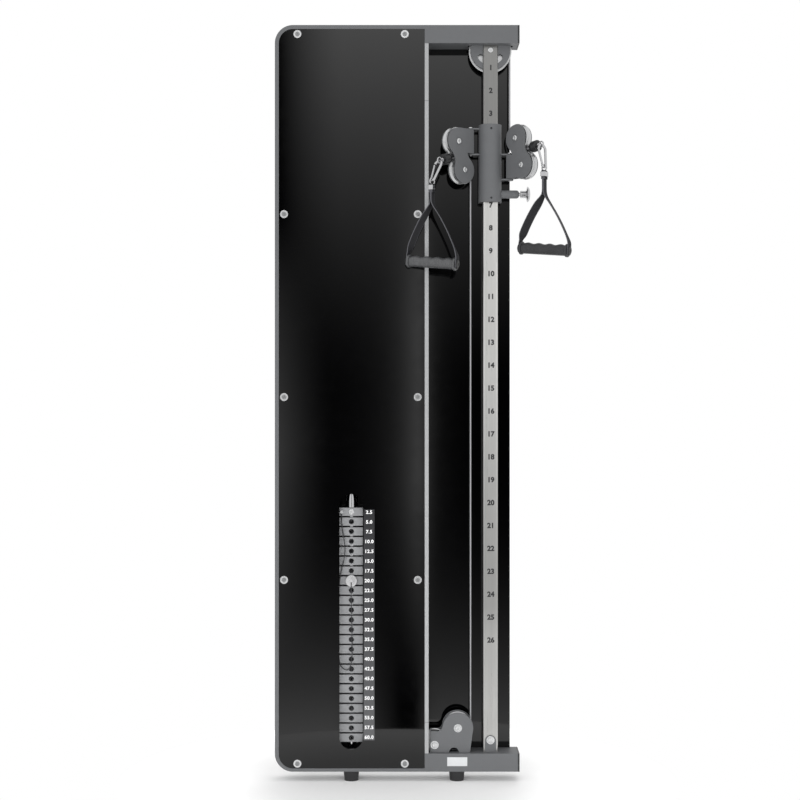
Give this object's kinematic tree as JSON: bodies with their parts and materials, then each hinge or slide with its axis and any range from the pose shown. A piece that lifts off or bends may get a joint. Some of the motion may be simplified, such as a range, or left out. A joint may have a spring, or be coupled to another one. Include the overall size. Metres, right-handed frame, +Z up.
{
  "type": "wall pulley weight stack",
  "caption": "Wall-mounted pulley weight stack with covered selector plates and handles on swivels that ride a height-adjustable carriage.",
  "frame": {"origin": "on the floor, under the middle of the frame's width and depth", "axes": "+X to the right, +Y to the wall, +Z up"},
  "size_m": [0.8937, 0.218, 2.3],
  "materials": {
    "powder_coat": "fine anthracite powder coat",
    "gloss_black": "polished acrylic",
    "plate_paint": "satin light grey coat",
    "column_steel": "satin nickel",
    "bright_zinc": "bright zinc",
    "chrome": "polished",
    "turned_steel": "turned",
    "pulley_metal": "turned",
    "rubber": "matte",
    "cable_sheath": "smooth sheath",
    "lanyard_cord": "braided cord",
    "webbing": "woven nylon",
    "grip_rubber": "ribbed",
    "bushing": "smooth"
  },
  "bodies": {
    "frame": {"top_frame": "powder_coat", "base_frame": "powder_coat", "left_side_panel": "powder_coat", "divider_panel": "powder_coat", "cover_panel": "gloss_black", "cover_screws": "bright_zinc", "cabinet_back_panel": "gloss_black", "bay_back_panel": "gloss_black", "beam_end_caps": "rubber", "rubber_feet": "rubber", "guide_rods": "chrome", "stack_bumpers": "rubber", "parked_plates": "plate_paint", "column": "column_steel", "top_pulley_bracket": "powder_coat", "base_pulley_bracket": "powder_coat", "cabinet_pulley_brackets": "powder_coat", "bracket_bolts": "bright_zinc", "pulley_bearings": "turned_steel", "fixed_cable": "cable_sheath", "bay_cable_left": "cable_sheath", "bay_cable_right": "cable_sheath", "stack_cable": "cable_sheath"},
    "carriage": {"sleeve": "powder_coat", "sleeve_bushings": "bushing", "plunger_barrel": "powder_coat", "hinge_pins": "bright_zinc"},
    "plunger": {"index_plunger": "chrome"},
    "lifted_stack": {"lifted_plates": "plate_paint", "selector_stem": "chrome", "stack_pulley_cable": "cable_sheath", "pin_lanyard": "lanyard_cord"},
    "stack_wheel": {"stack_pulley": "pulley_metal"},
    "pin": {"selector_pin": "turned_steel"},
    "top_wheel": {"top_pulley": "pulley_metal"},
    "base_upper_wheel": {"base_pulley_upper": "pulley_metal"},
    "base_lower_wheel": {"base_pulley_lower": "pulley_metal"},
    "lift_wheel": {"lift_pulley": "pulley_metal"},
    "cross_left_wheel": {"cross_pulley_left": "pulley_metal"},
    "cross_right_wheel": {"cross_pulley_right": "pulley_metal"},
    "left_swivel": {"left_swivel_frame": "powder_coat", "left_swivel_bolts": "bright_zinc", "left_lead_cable": "cable_sheath"},
    "left_upper_wheel": {"left_pulley_upper": "pulley_metal"},
    "left_lower_wheel": {"left_pulley_lower": "pulley_metal"},
    "left_pull_end": {"left_stopper": "rubber"},
    "left_hook": {"left_carabiner": "chrome"},
    "left_hook_gate": {"left_gate": "chrome"},
    "left_handle": {"left_strap": "webbing"},
    "left_handle_grip": {"left_grip": "grip_rubber"},
    "right_swivel": {"right_swivel_frame": "powder_coat", "right_swivel_bolts": "bright_zinc", "right_lead_cable": "cable_sheath"},
    "right_upper_wheel": {"right_pulley_upper": "pulley_metal"},
    "right_lower_wheel": {"right_pulley_lower": "pulley_metal"},
    "right_pull_end": {"right_stopper": "rubber"},
    "right_hook": {"right_carabiner": "chrome"},
    "right_hook_gate": {"right_gate": "chrome"},
    "right_handle": {"right_strap": "webbing"},
    "right_handle_grip": {"right_grip": "grip_rubber"}
  },
  "joints": [
    {"name": "carriage_slide", "type": "slide", "parent": "frame", "child": "carriage", "axis": [0, 0, 1], "range_m": [-1.61, 0.14], "deforming": ["bay_cable_left", "bay_cable_right"]},
    {"name": "plunger_pull", "type": "slide", "parent": "carriage", "child": "plunger", "axis": [1, 0, 0], "range_m": [-0.008, 0]},
    {"name": "stack_lift", "type": "slide", "parent": "frame", "child": "lifted_stack", "axis": [0, 0, 1], "range_m": [0, 1.1], "deforming": ["stack_cable"]},
    {"name": "selector_pin_slide", "type": "slide", "parent": "lifted_stack", "child": "pin", "axis": [0, 1, 0], "range_m": [-0.08, 0], "deforming": ["pin_lanyard"]},
    {"name": "stack_wheel_turn", "type": "hinge", "parent": "lifted_stack", "child": "stack_wheel", "pos_m": [-0.14, 0, 0.96], "axis": [0, 1, 0], "continuous": true},
    {"name": "top_wheel_turn", "type": "hinge", "parent": "frame", "child": "top_wheel", "pos_m": [0.285, 0, 2.23], "axis": [0, 1, 0], "range_deg": [0, 1100]},
    {"name": "lift_wheel_turn", "type": "hinge", "parent": "frame", "child": "lift_wheel", "pos_m": [-0.14, 0, 2.25], "axis": [0, 1, 0], "range_deg": [0, 1600]},
    {"name": "cross_left_wheel_turn", "type": "hinge", "parent": "frame", "child": "cross_left_wheel", "pos_m": [-0.06, 0, 2.19], "axis": [0, 1, 0], "range_deg": [0, 1600]},
    {"name": "cross_right_wheel_turn", "type": "hinge", "parent": "frame", "child": "cross_right_wheel", "pos_m": [0.034, 0, 2.19], "axis": [0, 1, 0], "range_deg": [0, 1600]},
    {"name": "base_lower_wheel_turn", "type": "hinge", "parent": "frame", "child": "base_lower_wheel", "pos_m": [0.114, 0, 0.108], "axis": [0, 1, 0], "range_deg": [-1600, 0]},
    {"name": "base_upper_wheel_turn", "type": "hinge", "parent": "frame", "child": "base_upper_wheel", "pos_m": [0.185, 0, 0.159], "axis": [0, 1, 0], "range_deg": [-1600, 0]},
    {"name": "left_swivel_yaw", "type": "hinge", "parent": "carriage", "child": "left_swivel", "pos_m": [0.225, 0, 1.9], "axis": [0, 0, 1], "range_deg": [-1, 66]},
    {"name": "left_lower_wheel_turn", "type": "hinge", "parent": "left_swivel", "child": "left_lower_wheel", "pos_m": [0.19527, -0.02677, 1.862], "axis": [0.6691, -0.7431, 0], "range_deg": [0, 1600]},
    {"name": "left_upper_wheel_turn", "type": "hinge", "parent": "left_swivel", "child": "left_upper_wheel", "pos_m": [0.17595, -0.04416, 1.946], "axis": [0.6691, -0.7431, 0], "continuous": true},
    {"name": "left_pull", "type": "slide", "parent": "left_swivel", "child": "left_pull_end", "axis": [-0.7269, -0.6545, -0.2079], "range_m": [0, 1.1], "deforming": ["left_lead_cable"]},
    {"name": "left_hook_swing", "type": "hinge", "parent": "left_pull_end", "child": "left_hook", "pos_m": [0.12803, -0.08731, 1.88366], "axis": [-0.6691, 0.7431, 0], "range_deg": [0, 80]},
    {"name": "left_gate_open", "type": "hinge", "parent": "left_hook", "child": "left_hook_gate", "pos_m": [0.10338, -0.09951, 1.82935], "axis": [0.6679, 0.6014, -0.4384], "range_deg": [0, 20]},
    {"name": "left_handle_swing", "type": "hinge", "parent": "left_hook", "child": "left_handle", "pos_m": [0.10494, -0.10811, 1.81994], "axis": [-0.6691, 0.7431, 0], "range_deg": [0, 60]},
    {"name": "left_grip_turn", "type": "hinge", "parent": "left_handle", "child": "left_handle_grip", "pos_m": [0.10494, -0.10811, 1.57294], "axis": [0.9021, -0.4207, -0.0958], "continuous": true},
    {"name": "right_swivel_yaw", "type": "hinge", "parent": "carriage", "child": "right_swivel", "pos_m": [0.345, 0, 1.9], "axis": [0, 0, -1], "range_deg": [-50, 61]},
    {"name": "right_upper_wheel_turn", "type": "hinge", "parent": "right_swivel", "child": "right_upper_wheel", "pos_m": [0.37124, -0.03019, 1.958], "axis": [0.7547, 0.6561, 0], "range_deg": [-1600, 0]},
    {"name": "right_lower_wheel_turn", "type": "hinge", "parent": "right_swivel", "child": "right_lower_wheel", "pos_m": [0.3883, -0.04981, 1.874], "axis": [0.7547, 0.6561, 0], "continuous": true},
    {"name": "right_pull", "type": "slide", "parent": "right_swivel", "child": "right_pull_end", "axis": [0.6512, -0.7491, 0.1219], "range_m": [0, 1.1], "deforming": ["right_lead_cable"]},
    {"name": "right_hook_swing", "type": "hinge", "parent": "right_pull_end", "child": "right_hook", "pos_m": [0.4337, -0.10203, 1.92939], "axis": [-0.7547, -0.6561, 0], "range_deg": [0, 80]},
    {"name": "right_gate_open", "type": "hinge", "parent": "right_hook", "child": "right_hook_gate", "pos_m": [0.43497, -0.11483, 1.86988], "axis": [-0.6461, 0.7432, -0.1736], "range_deg": [0, 20]},
    {"name": "right_handle_swing", "type": "hinge", "parent": "right_hook", "child": "right_handle", "pos_m": [0.44177, -0.11133, 1.85956], "axis": [-0.7547, -0.6561, 0], "range_deg": [0, 60]},
    {"name": "right_grip_turn", "type": "hinge", "parent": "right_handle", "child": "right_handle_grip", "pos_m": [0.44177, -0.11133, 1.61257], "axis": [0.862, -0.4977, -0.0958], "continuous": true}
  ],
  "couplings": [
    {"joint": "top_wheel_turn", "follows": "stack_lift", "rad_per_m": 16.667},
    {"joint": "lift_wheel_turn", "follows": "stack_lift", "rad_per_m": 25},
    {"joint": "cross_left_wheel_turn", "follows": "stack_lift", "rad_per_m": 25},
    {"joint": "cross_right_wheel_turn", "follows": "stack_lift", "rad_per_m": 25},
    {"joint": "base_lower_wheel_turn", "follows": "stack_lift", "rad_per_m": -25},
    {"joint": "base_upper_wheel_turn", "follows": "stack_lift", "rad_per_m": -25},
    {"joint": "left_lower_wheel_turn", "follows": "stack_lift", "rad_per_m": 25},
    {"joint": "left_pull", "follows": "stack_lift", "ratio": 1},
    {"joint": "right_upper_wheel_turn", "follows": "stack_lift", "rad_per_m": -25},
    {"joint": "right_pull", "follows": "stack_lift", "ratio": 1}
  ]
}
